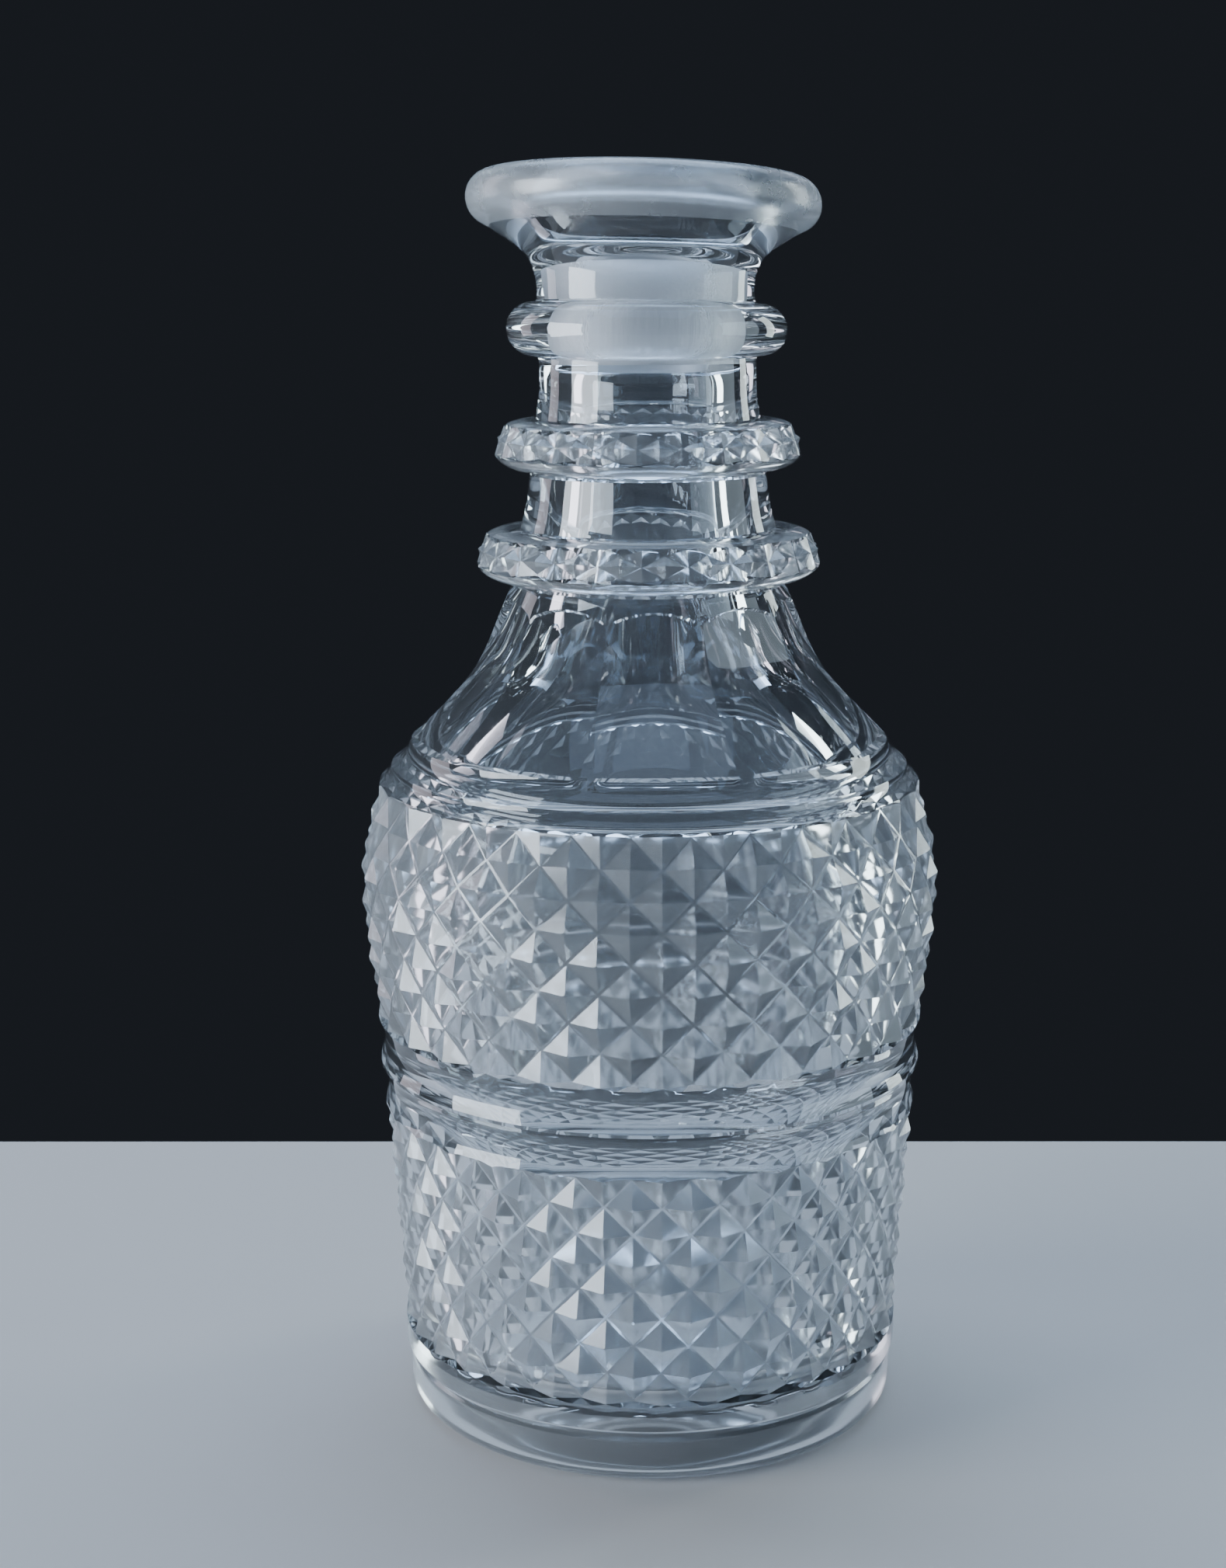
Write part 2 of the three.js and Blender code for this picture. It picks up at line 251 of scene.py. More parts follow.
class Blank:
    """A closed skin built from rows of points round the axis, from the base centre up and back down inside."""

    def __init__(self, phase):
        self.points = []
        self.faces = []
        self.cuts = []
        self.finishes = []
        self.phase = math.radians(phase)
        self.last = None

    def row(self, radii, heights, angles):
        first = len(self.points)
        angles = angles + self.phase
        xyz = np.stack([radii * np.sin(angles), -radii * np.cos(angles), heights], axis=1)
        self.points.extend(xyz)
        return list(range(first, first + len(xyz)))

    def face(self, *corners, cut=0.0, finish="clear"):
        self.faces.append(corners)
        self.cuts.append(cut)
        self.finishes.append(FINISHES.index(finish))

    def join(self, row, finish="clear"):
        """Joins a row to the last one, with quads or, where their counts differ, a zip of triangles."""
        last = self.last
        self.last = row
        if last is None:
            return
        if len(last) == 1 or len(row) == 1:
            self._fan(last, row)
            return
        if len(last) == len(row):
            count = len(row)
            for i in range(count):
                k = (i + 1) % count
                self.face(last[i], last[k], row[k], row[i], finish=finish)
            return
        a = b = 0
        n, m = len(last), len(row)
        while a < n or b < m:
            if b >= m or (a < n and (a + 0.5) / n <= (b + 0.5) / m):
                self.face(last[a % n], last[(a + 1) % n], row[b % m])
                a += 1
            else:
                self.face(last[a % n], row[(b + 1) % m], row[b % m])
                b += 1

    def _fan(self, last, row):
        ring, pole = (row, last[0]) if len(last) == 1 else (last, row[0])
        count = len(ring)
        for i in range(count):
            k = (i + 1) % count
            if len(last) == 1:
                self.face(pole, ring[k], ring[i])
            else:
                self.face(ring[i], ring[k], pole)

    def pole(self, height):
        self.points.append(np.array([0.0, 0.0, height]))
        self.join([len(self.points) - 1])

    def smooth(self, radius, height, count=FINE, finish="clear"):
        """A plain round row; radius and height may be arrays that follow the angle."""
        angles = np.arange(count) * 2 * math.pi / count
        radii = np.broadcast_to(radius, (count,)).astype(float)
        heights = np.broadcast_to(height, (count,)).astype(float)
        self.join(self.row(radii, heights, angles), finish=finish)

    def diamonds(self, profile, around, half_rows, depth, rng, jitter):
        """A band of crossed mitre cuts: low points where cuts cross, and a face for each diamond."""
        count = 2 * around
        angles = np.arange(count) * 2 * math.pi / count
        rows = []
        for n in range(half_rows + 1):
            (radius, height), (out, up) = profile(n / half_rows)
            high = (np.arange(count) + n) % 2 == 1
            drop = np.where(high, 0.0, depth + rng.uniform(-jitter, jitter, count))
            shift = rng.uniform(-jitter, jitter, count) / radius * np.where(high, 0, 1)
            lift = rng.uniform(-jitter, jitter, count) * np.where(high, 0, 1) * (0 < n < half_rows)
            rows.append(self.row(radius - drop * out, height - drop * up + lift, angles + shift))
        self.join(rows[0])
        for n, row in enumerate(rows):
            for i in range(count):
                left, right = (i - 1) % count, (i + 1) % count
                if (i + n) % 2 == 0:
                    continue
                if n == 0:
                    self.face(row[left], row[i], rows[1][i], finish="cut")
                    self.face(row[i], row[right], rows[1][i], finish="cut")
                elif n == half_rows:
                    below = rows[n - 1][i]
                    self.face(below, row[i], row[left], finish="cut")
                    self.face(below, row[right], row[i], finish="cut")
                else:
                    self.face(rows[n - 1][i], row[right], rows[n + 1][i], row[left], cut=depth, finish="cut")
        self.last = rows[-1]


def spline(pairs):
    """A smooth curve through [radius, height] pairs: a function of the share of its length."""
    knots = np.array(pairs, float)
    padded = np.vstack([2 * knots[0] - knots[1], knots, 2 * knots[-1] - knots[-2]])
    fine = []
    for k in range(1, len(padded) - 2):
        p0, p1, p2, p3 = padded[k - 1:k + 3]
        for t in np.linspace(0, 1, 40, endpoint=False):
            fine.append(0.5 * (2 * p1 + (p2 - p0) * t + (2 * p0 - 5 * p1 + 4 * p2 - p3) * t * t
                               + (3 * p1 - p0 - 3 * p2 + p3) * t ** 3))
    fine = np.vstack([fine, knots[-1]])
    length = np.concatenate([[0], np.cumsum(np.linalg.norm(np.diff(fine, axis=0), axis=1))])

    def at(share):
        d = share * length[-1]
        return np.array([np.interp(d, length, fine[:, 0]), np.interp(d, length, fine[:, 1])])

    def point_and_normal(share):
        tangent = at(min(share + 0.01, 1)) - at(max(share - 0.01, 0))
        tangent /= np.linalg.norm(tangent)
        return at(share), (tangent[1], -tangent[0])

    return point_and_normal


def lean(points):
    """The hand-tooled lip leans a little to the back and right, as the solids' lip does."""
    share = lean_share(points[:, 2], LIP["centre"])
    back, right = math.tan(math.radians(LEAN["back"])), math.tan(math.radians(LEAN["right"]))
    slope = -points[:, 1] * back - points[:, 0] * right
    points[:, 0] -= share * LEAN["shift"]
    points[:, 2] += share * slope
    return points


def hollow(blank, start, end, depth, steps=6):
    """A shallow hollow band cut between two ridges, from start to end, both [radius, height]."""
    start, end = np.array(start), np.array(end)
    along = (end - start) / np.linalg.norm(end - start)
    normal = np.array([along[1], -along[0]])
    for k in range(1, steps):
        t = k / steps
        point = start + (end - start) * t - normal * depth * (1 - (2 * t - 1) ** 2)
        blank.smooth(*point)


def curve_rows(blank, pairs, steps, skip_first=False, **more):
    curve = spline(pairs)
    for k in range(1 if skip_first else 0, steps + 1):
        blank.smooth(*curve(k / steps)[0], **more)


def arc_points(centre, half_width, half_height, start, end, steps):
    for k in range(steps + 1):
        angle = math.radians(start + (end - start) * k / steps)
        yield centre[0] + half_width * math.cos(angle), centre[1] + half_height * math.sin(angle)


NECK_LINE = [(152.2, 25.0), (168.5, 21.7), (187.5, 19.3), (205.5, 19.2)]
LIP = {"centre": 220.1, "height": 14.6, "radius": 31.17, "thickness": 8.96, "roll": 8.6, "undercut": 3.9}
ROLL_ARC = (-60, 140)
FLARE = [(0.0, 0.0), (0.02, 0.09), (0.08, 0.22), (0.26, 0.39), (0.6, 0.53)]
FLARE_END_DROP = 0.3
DISH = {"shoulder": (0.77, 0.64), "edge": 1.4, "edge_drop": 0.4, "drop": 0.8, "throat": 1}
BORE = {"radius": 11.5, "taper": 0.5, "bottom": 192.7, "top": 210.7}
NECK_START = (25.05, 152.3)
NECK_END = 205.0

# the ground-out hollow under the foot and the ring it stands on: radius, height
UNDERSIDE = [(3, 2.17), (7, 1.8), (11, 1.1), (14, 0.3), (15, 0.02), (15.6, 0.0), (28, 0.0)]
UNDERSIDE_MIDDLE = 2.2
FOOT_ROUND = 3.4
# the foot's side and its groove: how far out from the foot's radius, height
FOOT_SIDE = [(0, 4.6), (0, 7.4), (-0.15, 8.2), (-0.75, 8.75), (-0.8, 9.3), (-0.1, 9.9), (0.55, 10.1),
             (0.75, 10.5), (0.85, 13.2)]
FOOT_TOP_OUT = 0.8
BAND_MARGIN = 0.5

LOWER_BAND = {"bottom": 46.5, "middle": (47.9, 36.0), "top": 49.4}
UPPER_BAND = {"bottom": 50.4, "lower": (0.7, 88.9), "widest": 103.5, "top": 49.3}
WAIST = {"ridge": 50.1, "edge": 0.15, "flat_depth": 0.06, "flat_half": 0.3, "hollow": 0.9}
SHOULDER = {"start": 49.1, "middle": (46.9, 120.9), "ridge": 43.3, "lower_hollow": 0.45, "upper_hollow": 0.7}
SWEEP = [(31.8, 137.6), (26.2, 149.6), (25.3, 152.0)]
SWEEP_START = (-0.4, 0.35)
FLUTE_TOP = {"height": 151.2, "arch": 2.0, "lip": 0.5, "fade": 0.45, "fade_from": 0.6}
CHIP = {"chance": 0.7, "wander": 2, "depth": (0.2, 0.5), "shape": (0.5, 1, 0.6), "drop": 0.4}

RING_SECTION = {"round": 0.9, "cut": 37, "cut_rise": 14, "margin": 5}
# the fillet where a ring meets the neck: how far out from the neck, how far beyond the ring
RING_FILLET = [(0, 0.8), (0.12, 0.25), (0.45, 0)]
JITTER = {"band": 0.10, "ring": 0.07}

# the blown inside, from the ground zone down: radius and height
INSIDE = {
    "ground_zone": [(0.1, 0.8), (0.2, 3.5)],  # out from the bore (first from its narrow end), below the zone
    "neck": [(0.5, 168.5), (3, 153.2)],  # out from the bore
    "shoulder": [(19.5, 141.6), (34.5, 123.8), (41.1, 110.4)],
    "body": [(53.1, 94.5), (50.1, 57.3), (47.1, 30.0)],  # outer radius, less the wall
    "floor": [(22, -0.4), (14, -0.7), (6, -0.95), (2, -1.0)],  # height above the base's thickness
    "corner": 9.0,
}
# how far the inside is from round, as shares of its radius, and its waves along the height, in mm
WOBBLE = {"oval": 0.010, "three": 0.004, "wave": 0.12, "calm_steps": 10, "full_radius": 40}


def neck_radius(height):
    heights, radii = zip(*NECK_LINE)
    return float(np.interp(height, heights, radii))


def foot_rows(blank, shape):
    radius = shape.foot_radius
    blank.pole(UNDERSIDE_MIDDLE)
    for r, z in UNDERSIDE:
        blank.smooth(r, z, FINE // 2)
    for r, z in arc_points((radius - FOOT_ROUND, FOOT_ROUND), FOOT_ROUND, FOOT_ROUND, -90, -8, 8):
        blank.smooth(r, z, finish="cut")
    for out, z in FOOT_SIDE:
        blank.smooth(radius + out, z, finish="cut")
    blank.smooth(radius + FOOT_TOP_OUT, shape.lower_band_bottom - BAND_MARGIN)


def waist_rows(blank, shape):
    """Two hollow bands with a small flat ridge between them."""
    low = (LOWER_BAND["top"] - WAIST["edge"], shape.lower_band_top + BAND_MARGIN)
    high = (UPPER_BAND["bottom"] - WAIST["edge"], shape.upper_band_bottom - BAND_MARGIN)
    ridge = (WAIST["ridge"], (shape.lower_band_top + shape.upper_band_bottom) / 2)
    blank.smooth(*low)
    hollow(blank, low, ridge, WAIST["hollow"])
    blank.smooth(ridge[0] - WAIST["flat_depth"], ridge[1] - WAIST["flat_half"])
    blank.smooth(ridge[0] - WAIST["flat_depth"], ridge[1] + WAIST["flat_half"])
    hollow(blank, ridge, high, WAIST["hollow"])
    blank.smooth(*high)


def chipped_ridge(blank, ridge, flutes, rng):
    """The ridge that the flutes start from, a little chipped where some of them meet."""
    chips = np.zeros(FINE)
    for flute in range(flutes):
        if rng.random() < CHIP["chance"]:
            wander = int(rng.integers(-CHIP["wander"], CHIP["wander"] + 1))
            centre = flute * FINE // flutes + wander
            chips[np.arange(centre - 1, centre + 2) % FINE] += rng.uniform(*CHIP["depth"]) * np.array(CHIP["shape"])
    blank.smooth(ridge[0] - chips, ridge[1] - chips * CHIP["drop"])


def shoulder_rows(blank, shape, cutting, rng):
    """Two hollow bands, the ridge, and the arched flutes up to the lowest ring."""
    start = (SHOULDER["start"], shape.upper_band_top + BAND_MARGIN)
    middle = SHOULDER["middle"]
    ridge = (SHOULDER["ridge"], shape.shoulder_ridge)
    blank.smooth(*start)
    hollow(blank, start, middle, SHOULDER["lower_hollow"])
    blank.smooth(*middle)
    hollow(blank, middle, ridge, SHOULDER["upper_hollow"])
    chipped_ridge(blank, ridge, cutting.flutes, rng)
    per_flute = FINE // cutting.flutes
    across = (np.arange(FINE) % per_flute) / per_flute * 2 - 1
    arch_top = FLUTE_TOP["height"] - FLUTE_TOP["arch"] * across ** 2
    cut = cutting.flute_depth * (1 - across ** 2)
    sweep = spline([(ridge[0] + SWEEP_START[0], ridge[1] + SWEEP_START[1]), *SWEEP])
    steps = 16
    line = np.array([sweep(share)[0] for share in np.linspace(0, 1, 200)])
    bottom = line[0, 1]
    for k in range(steps + 1):
        height = bottom + (arch_top - FLUTE_TOP["lip"] - bottom) * k / steps
        radius = np.interp(height, line[:, 1], line[:, 0])
        faded = max(0.0, (k / steps - FLUTE_TOP["fade_from"]) / (1 - FLUTE_TOP["fade_from"]))
        blank.smooth(radius - cut * (1 - FLUTE_TOP["fade"] * faded), height)
    blank.smooth(np.interp(arch_top, line[:, 1], line[:, 0]), arch_top)
    blank.smooth(*NECK_START)


def ring_rows(blank, ring, cutting, diamonds, rng):
    """A ring fused to the neck: a small fillet, the lower face, its edge, the upper face."""
    half = ring["thickness"] / 2
    middle = ring["height"]
    bottom, top = middle - half, middle + half
    low_neck, high_neck = neck_radius(bottom), neck_radius(top)
    centre = (max(low_neck, high_neck) + RING_SECTION["round"], middle)
    bulge = ring["radius"] - centre[0]
    for out, beyond in RING_FILLET:
        blank.smooth(low_neck + out, bottom - beyond)
    if not diamonds:
        for r, z in arc_points(centre, bulge, half, -90, 90, 24):
            blank.smooth(r, z)
    else:
        low_edge = RING_SECTION["cut_rise"] - RING_SECTION["cut"]
        high_edge = RING_SECTION["cut_rise"] + RING_SECTION["cut"]
        for r, z in arc_points(centre, bulge, half, -90, low_edge - RING_SECTION["margin"], 7):
            blank.smooth(r, z, finish="cut")
        section = spline([*arc_points(centre, bulge, half, low_edge, high_edge, 6)])
        blank.diamonds(section, diamonds, 2, cutting.ring_depth, rng, JITTER["ring"])
        for r, z in arc_points(centre, bulge, half, high_edge + RING_SECTION["margin"], 90, 7):
            blank.smooth(r, z, finish="cut")
    for out, beyond in reversed(RING_FILLET):
        blank.smooth(high_neck + out, top + beyond)


def neck_rows(blank, low, high, steps=4):
    for k in range(1, steps):
        height = low + (high - low) * k / steps
        blank.smooth(neck_radius(height), height)


def lip_rows(blank):
    """The flare, the rolled lip and the dish that leads down to the ground bore."""
    half, roll = LIP["thickness"] / 2, LIP["roll"] / 2
    neck_top, top_radius = NECK_LINE[-1]
    middle = LIP["centre"]
    centre = (LIP["radius"] - roll, middle)
    end = LIP["radius"] - LIP["undercut"]
    flare = [(top_radius + out * (end - top_radius), neck_top + up * LIP["height"]) for out, up in FLARE]
    flare.append((end, middle - half - FLARE_END_DROP))
    curve_rows(blank, flare, 22)
    for r, z in arc_points(centre, roll, half, *ROLL_ARC, 30):
        blank.smooth(r, z, finish="worn")
    throat = BORE["radius"] + BORE["taper"]
    edge = centre[0] - roll
    in_share, up_share = DISH["shoulder"]
    dish = [(centre[0] - roll * in_share, middle + half * up_share),
            (edge - DISH["edge"], middle - DISH["edge_drop"]),
            ((edge + throat) / 2, (middle + BORE["top"]) / 2 - DISH["drop"]),
            (throat + DISH["throat"], BORE["top"] + DISH["throat"]), (throat, BORE["top"])]
    curve_rows(blank, dish, 20, skip_first=True)


def hollow_rows(blank, shape, rng):
    """The ground zone, the clear bore and the blown inside, which is never quite round or even."""
    bore, taper = BORE["radius"], BORE["taper"]
    for k in range(1, 7):
        share = k / 6
        height = BORE["top"] + (BORE["bottom"] - BORE["top"]) * share
        blank.smooth(bore + taper - 2 * taper * share, height, finish="ground")
    narrow = bore - taper
    blank.smooth(narrow, BORE["bottom"] - 0.01)
    wall, corner = shape.wall, INSIDE["corner"]
    (first_out, first_drop), (out, drop) = INSIDE["ground_zone"]
    inside = spline([
        (narrow + first_out, BORE["bottom"] - first_drop), (bore + out, BORE["bottom"] - drop),
        *((bore + extra, height) for extra, height in INSIDE["neck"]), *INSIDE["shoulder"],
        *((radius - wall, height) for radius, height in INSIDE["body"]),
        (LOWER_BAND["bottom"] - wall, shape.base + corner)])
    steps = 70
    lobes = rng.uniform(0, 2 * math.pi, 4)
    angles = np.arange(FINE) * 2 * math.pi / FINE
    for k in range(steps + 1):
        radius, height = inside(k / steps)[0]
        wobble = WOBBLE["oval"] * radius * np.sin(2 * angles + lobes[0] + height * 0.02)
        wobble = wobble + WOBBLE["three"] * radius * np.sin(3 * angles + lobes[1] - height * 0.05)
        wave = WOBBLE["wave"] * math.sin(height * 0.21 + lobes[2])
        wobble = wobble + wave * min(1.0, radius / WOBBLE["full_radius"])
        calm = min(1.0, k / WOBBLE["calm_steps"])
        blank.smooth(radius - np.abs(wobble) * calm, height)
    floor_radius = LOWER_BAND["bottom"] - wall - corner
    for r, z in list(arc_points((floor_radius, shape.base + corner), corner, corner, 0, -90, 10))[1:]:
        blank.smooth(r, z, FINE // 2)
    for r, above in INSIDE["floor"]:
        blank.smooth(r, shape.base + above, FINE // 2)
    blank.pole(shape.base - 1.0)


def build_blank(shape, cutting):
    rng = np.random.default_rng(1820)
    blank = Blank(cutting.phase)
    foot_rows(blank, shape)
    half_rows = 2 * cutting.diamond_rows
    lower = spline([(LOWER_BAND["bottom"], shape.lower_band_bottom), LOWER_BAND["middle"],
                    (LOWER_BAND["top"], shape.lower_band_top)])
    blank.diamonds(lower, cutting.diamonds_around, half_rows, cutting.depth, rng, JITTER["band"])
    waist_rows(blank, shape)
    set_in, swell_height = UPPER_BAND["lower"]
    upper = spline([(UPPER_BAND["bottom"], shape.upper_band_bottom), (shape.body_radius - set_in, swell_height),
                    (shape.body_radius, UPPER_BAND["widest"]), (UPPER_BAND["top"], shape.upper_band_top)])
    blank.diamonds(upper, cutting.diamonds_around, half_rows, cutting.depth, rng, JITTER["band"])
    shoulder_rows(blank, shape, cutting, rng)
    rings = [(ring_size(name, LIP["centre"]), diamonds) for name, diamonds in RINGS]
    for (ring, diamonds), above in zip(rings, rings[1:] + [None]):
        ring_rows(blank, ring, cutting, diamonds, rng)
        beyond = RING_FILLET[0][1]
        top = ring["height"] + ring["thickness"] / 2 + beyond
        end = above[0]["height"] - above[0]["thickness"] / 2 - beyond if above else NECK_END
        neck_rows(blank, top, end)
    lip_rows(blank)
    hollow_rows(blank, shape, rng)
    points = lean(np.array(blank.points))
    mesh = bpy.data.meshes.new("decanter_crystal")
    mesh.from_pydata((points * MM).tolist(), [], blank.faces)
    for name, kind, values in (("cut", "FLOAT", np.array(blank.cuts) * MM), ("finish", "INT", blank.finishes)):
        mesh.attributes.new(name, kind, "FACE").data.foreach_set("value", values)
    mesh.update()
    return mesh


# ---------------------------------------------------------------- cutting, by Geometry Nodes


def tree_input(tree, name, kind, default):
    socket = tree.interface.new_socket(name, in_out="INPUT", socket_type=kind)
    if default is not None:
        socket.default_value = default
    return socket.identifier


def mitre_tree(finishes):
    """Raises each diamond of the blank to a four-sided point between rounded mitre grooves."""
    tree = bpy.data.node_groups.new("mitre_cut_diamonds", "GeometryNodeTree")
    tree.interface.new_socket("Geometry", in_out="INPUT", socket_type="NodeSocketGeometry")
    tree.interface.new_socket("Geometry", in_out="OUTPUT", socket_type="NodeSocketGeometry")
    names = {
        "groove": tree_input(tree, "Groove share", "NodeSocketFloat", 0.07),
        "tip": tree_input(tree, "Tip share", "NodeSocketFloat", 0.035),
        "uneven": tree_input(tree, "Unevenness", "NodeSocketFloat", 0.06),
        "seed": tree_input(tree, "Seed", "NodeSocketInt", 7),
    }
    entry = tree.nodes.new("NodeGroupInput")
    given = {socket.name: Socket(tree, socket) for socket in entry.outputs}
    depth = node(tree, "GeometryNodeInputNamedAttribute", {"data_type": "FLOAT"}, {"Name": "cut"})
    finish = node(tree, "GeometryNodeInputNamedAttribute", {"data_type": "INT"}, {"Name": "finish"})
    chosen = node(tree, "FunctionNodeCompare", {"operation": "GREATER_THAN"}, {"A": depth, "B": 0.0})
    spread = node(tree, "FunctionNodeRandomValue", {"data_type": "FLOAT"}, {
        2: 1 - given["Unevenness"], 3: given["Unevenness"] + 1, "Seed": given["Seed"]}, output=1)

    inset = tree.nodes.new("GeometryNodeExtrudeMesh")
    tree.links.new(given["Geometry"].link, inset.inputs["Mesh"])
    tree.links.new(chosen.link, inset.inputs["Selection"])
    inset.inputs["Offset Scale"].default_value = 0.0
    inset.inputs["Individual"].default_value = True
    narrowed = node(tree, "GeometryNodeScaleElements", {"domain": "FACE"}, {
        "Geometry": Socket(tree, inset.outputs["Mesh"]), "Selection": Socket(tree, inset.outputs["Top"]),
        "Scale": 1 - given["Groove share"]})

    raised = tree.nodes.new("GeometryNodeExtrudeMesh")
    tree.links.new(narrowed.link, raised.inputs["Mesh"])
    tree.links.new(inset.outputs["Top"], raised.inputs["Selection"])
    tree.links.new((depth * spread).link, raised.inputs["Offset Scale"])
    raised.inputs["Individual"].default_value = True
    pointed = node(tree, "GeometryNodeScaleElements", {"domain": "FACE"}, {
        "Geometry": Socket(tree, raised.outputs["Mesh"]), "Selection": Socket(tree, raised.outputs["Top"]),
        "Scale": given["Tip share"]})

    skin = node(tree, "GeometryNodeRealizeInstances", {}, {"Geometry": pointed})
    for number, name in enumerate(FINISHES):
        here = node(tree, "FunctionNodeCompare", {"data_type": "INT", "operation": "EQUAL"}, {2: finish, 3: number})
        skin = node(tree, "GeometryNodeSetMaterial", {}, {
            "Geometry": skin, "Selection": here, "Material": finishes[name]})
    leave = tree.nodes.new("NodeGroupOutput")
    tree.links.new(skin.link, leave.inputs[0])
    return tree, names


def evaluated_copy(source, name):
    """The evaluated object's mesh as a plain object at the origin."""
    graph = bpy.context.evaluated_depsgraph_get()
    mesh = bpy.data.meshes.new_from_object(source.evaluated_get(graph))
    mesh.name = name
    made = bpy.data.objects.new(name, mesh)
    bpy.context.scene.collection.objects.link(made)
    bpy.data.objects.remove(source)
    return made


# ---------------------------------------------------------------- operators


class DECANTER_OT_crystal(bpy.types.Operator):
    """Turn the blank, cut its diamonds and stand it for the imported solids"""

    bl_idname = "decanter.crystal"
    bl_label = "Crystal"

    def execute(self, context):
        scene = context.scene
        look = scene.decanter_look
        finishes = {
            "clear": crystal_material("clear_crystal", look, look.clear, ROUGHNESS["clear"]),
            "cut": crystal_material("cut_crystal", look, look.cut_clear, ROUGHNESS["cut"]),
            "worn": crystal_material("worn_crystal", look, look.worn_clear, ROUGHNESS["worn"]),
            "ground": ground_material(look),
        }
        blank = bpy.data.objects.new("blank", build_blank(scene.decanter_shape, scene.decanter_cutting))
        scene.collection.objects.link(blank)
        tree, names = mitre_tree(finishes)
        cutter = blank.modifiers.new("mitre_cuts", "NODES")
        cutter.node_group = tree
        cutter[names["groove"]] = scene.decanter_cutting.groove
        cutter[names["tip"]] = scene.decanter_cutting.tip
        cutter[names["uneven"]] = scene.decanter_cutting.uneven
        cutter[names["seed"]] = scene.decanter_cutting.seed
        piece = evaluated_copy(blank, "decanter_crystal")
        piece.data.shade_smooth()
        piece.data.set_sharp_from_angle(angle=math.radians(17))
        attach(piece, "root")
        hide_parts(*CRYSTAL_NODES)
        return {"FINISHED"}


CAMERA = {"distance": 0.450, "height": 0.210, "pitch": 11.79, "yaw": -0.835, "roll": -0.3, "lens": 57.5}
MIDDLE = (0, 0, 0.12)
FLOOR_GAP = 0.00015
STUDIO = (
    # name, place, aimed at, width and height, radiance, colour
    ("window", (-1.13, -0.41, 0.08), (0, 0, 0.08), (0.72, 0.96), 17.0, (0.82, 0.91, 1.0)),
    ("overhead", (0.0, 0.50, 1.30), MIDDLE, (1.3, 0.9), 5.0, (0.54, 0.73, 1.0)),
    ("over_front", (0.0, -0.6, 1.3), MIDDLE, (1.3, 0.7), 1.2, (0.52, 0.70, 1.0)),
    ("right_wall", (1.25, -0.15, 0.30), (0, 0, 0.30), (0.9, 0.9), 2.6, (0.70, 0.87, 1.0)),
    ("right_edge", (0.95, 0.55, 0.30), MIDDLE, (0.25, 0.8), 7.5, (0.82, 0.95, 0.96)),
    ("left_edge", (-0.95, 0.45, 0.30), MIDDLE, (0.3, 0.8), 3.0, (0.94, 0.88, 0.98)),
)


def softbox(name, place, target, size, radiance, colour):
    light = bpy.data.lights.new(name, "AREA")
    light.shape = "RECTANGLE"
    light.size, light.size_y = size
    light.energy = radiance * math.pi * size[0] * size[1]
    light.color = colour
    box = bpy.data.objects.new(name, light)
    box.visible_camera = False
    bpy.context.scene.collection.objects.link(box)
    box.location = place
    aim = Vector(target) - Vector(place)
    box.rotation_euler = aim.to_track_quat("-Z", "Y").to_euler()
    return box


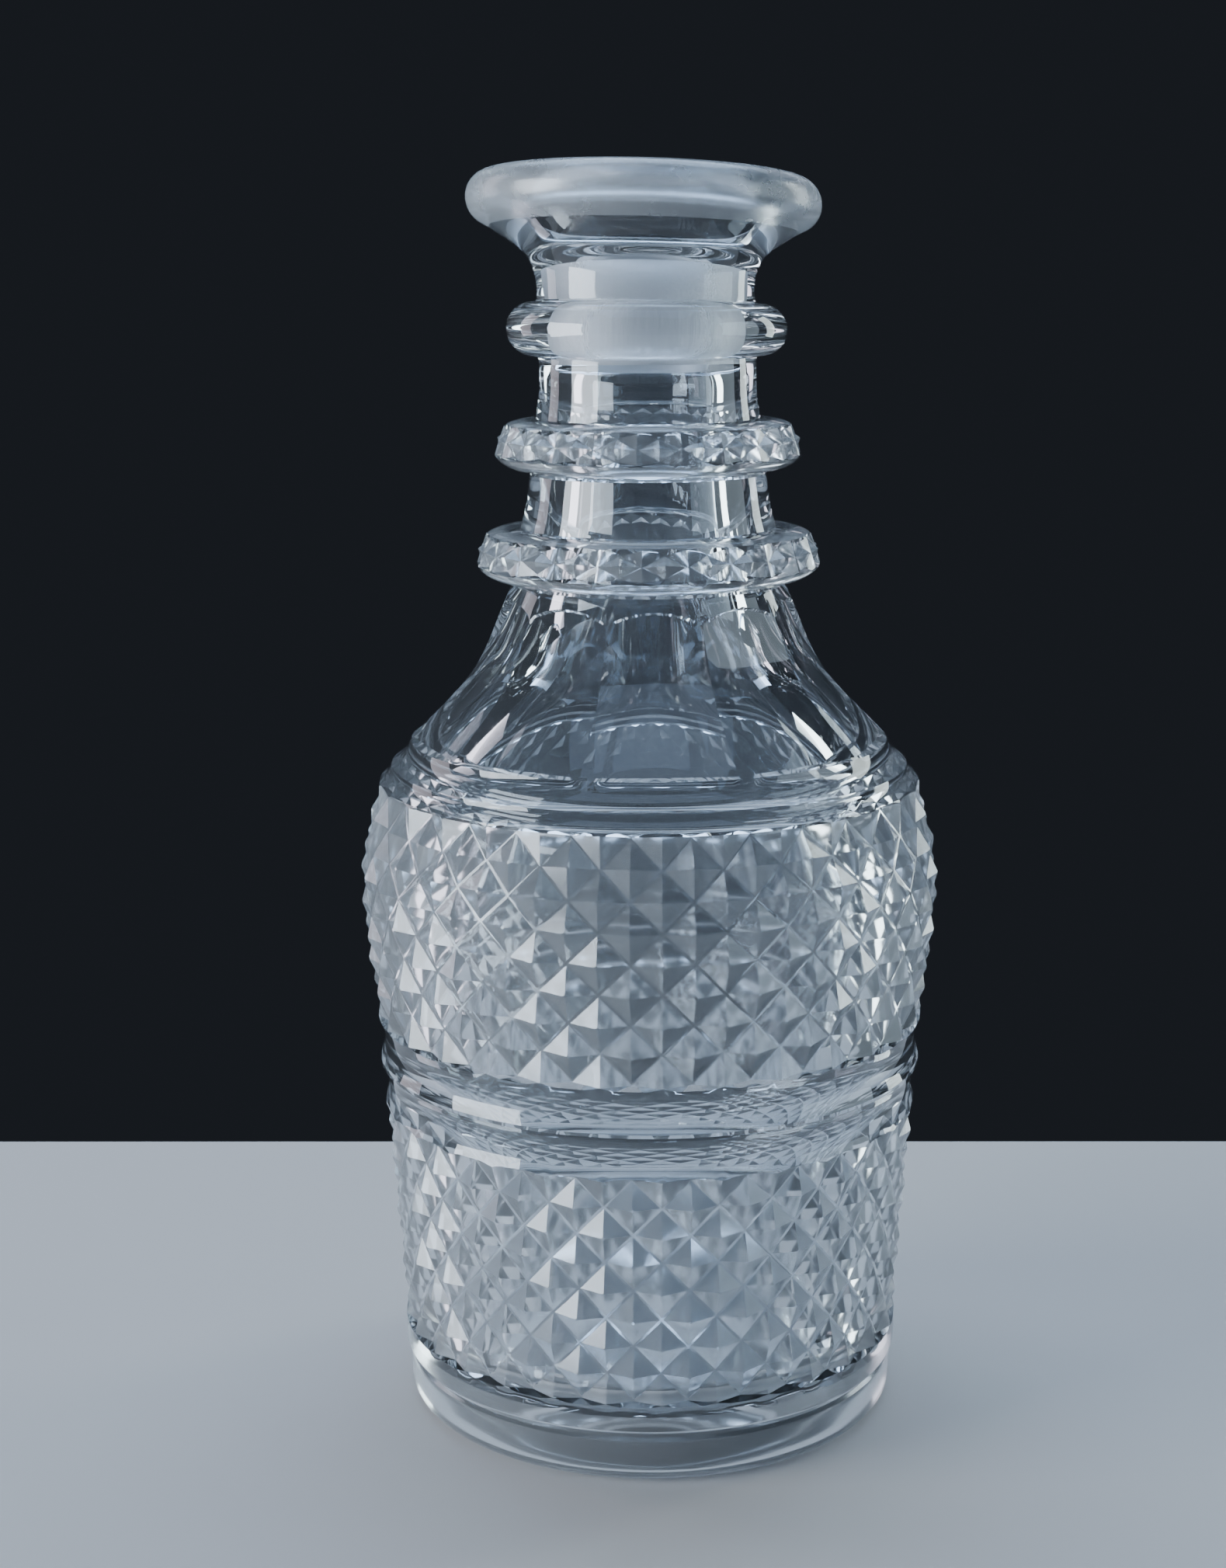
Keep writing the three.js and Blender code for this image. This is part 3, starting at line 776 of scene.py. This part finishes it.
class DECANTER_OT_stage(bpy.types.Operator):
    """Lay the floor, hang the studio lights and set the camera"""

    bl_idname = "decanter.stage"
    bl_label = "Stage"

    def execute(self, context):
        scene = context.scene
        look = scene.decanter_look
        material, _, shader = new_material("plain_floor")
        shader.inputs["Base Color"].default_value = (*look.floor, 1.0)
        shader.inputs["Roughness"].default_value = 0.6
        mesh = bpy.data.meshes.new("floor")
        left, right, front, back = look.floor_edges
        corners = [(left, front), (right, front), (right, back), (left, back)]
        mesh.from_pydata([(x, y, -FLOOR_GAP) for x, y in corners], [], [(0, 1, 2, 3)])
        mesh.materials.append(material)
        floor = bpy.data.objects.new("floor", mesh)
        scene.collection.objects.link(floor)
        world = bpy.data.worlds.new("room")
        world.use_nodes = True
        world.node_tree.nodes["Background"].inputs["Color"].default_value = (*look.world, 1.0)
        scene.world = world
        for light in STUDIO:
            softbox(*light)
        place_camera(scene)
        return {"FINISHED"}


def place_camera(scene):
    """The camera looks down a little at the decanter, from the front."""
    pitch, yaw, roll = (math.radians(CAMERA[turn]) for turn in ("pitch", "yaw", "roll"))
    data = bpy.data.cameras.new("camera")
    data.sensor_width = 36
    data.lens = CAMERA["lens"]
    data.clip_start = 0.01
    camera = bpy.data.objects.new("camera", data)
    scene.collection.objects.link(camera)
    flat = Vector((math.sin(yaw), math.cos(yaw), 0))
    forward = flat * math.cos(pitch) - Vector((0, 0, math.sin(pitch)))
    level = Vector((math.cos(yaw), -math.sin(yaw), 0))
    upright = flat * math.sin(pitch) + Vector((0, 0, math.cos(pitch)))
    right = level * math.cos(roll) + upright * math.sin(roll)
    up = upright * math.cos(roll) - level * math.sin(roll)
    turn = Matrix((right, up, -forward)).transposed().to_4x4()
    camera.matrix_world = Matrix.Translation((0, -CAMERA["distance"], CAMERA["height"])) @ turn
    scene.camera = camera


class DECANTER_PT_panel(bpy.types.Panel):
    """Lists the decanter's operators in the sidebar"""

    bl_label = "Decanter"
    bl_idname = "DECANTER_PT_panel"
    bl_space_type = "VIEW_3D"
    bl_region_type = "UI"
    bl_category = "Decanter"

    def draw(self, context):
        for operator in OPERATORS:
            self.layout.operator(operator.bl_idname)


GROUPS = {"decanter_shape": DecanterShape, "decanter_cutting": DecanterCutting, "decanter_look": DecanterLook}
OPERATORS = (DECANTER_OT_crystal, DECANTER_OT_stage)


def register():
    for cls in (*GROUPS.values(), *OPERATORS, DECANTER_PT_panel):
        bpy.utils.register_class(cls)
    for name, cls in GROUPS.items():
        setattr(bpy.types.Scene, name, PointerProperty(type=cls))


def unregister():
    for name in GROUPS:
        delattr(bpy.types.Scene, name)
    for cls in (DECANTER_PT_panel, *reversed(OPERATORS), *reversed(GROUPS.values())):
        bpy.utils.unregister_class(cls)


def main():
    register()
    bpy.ops.decanter.crystal()
    bpy.ops.decanter.stage()


if __name__ == "__main__":
    main()
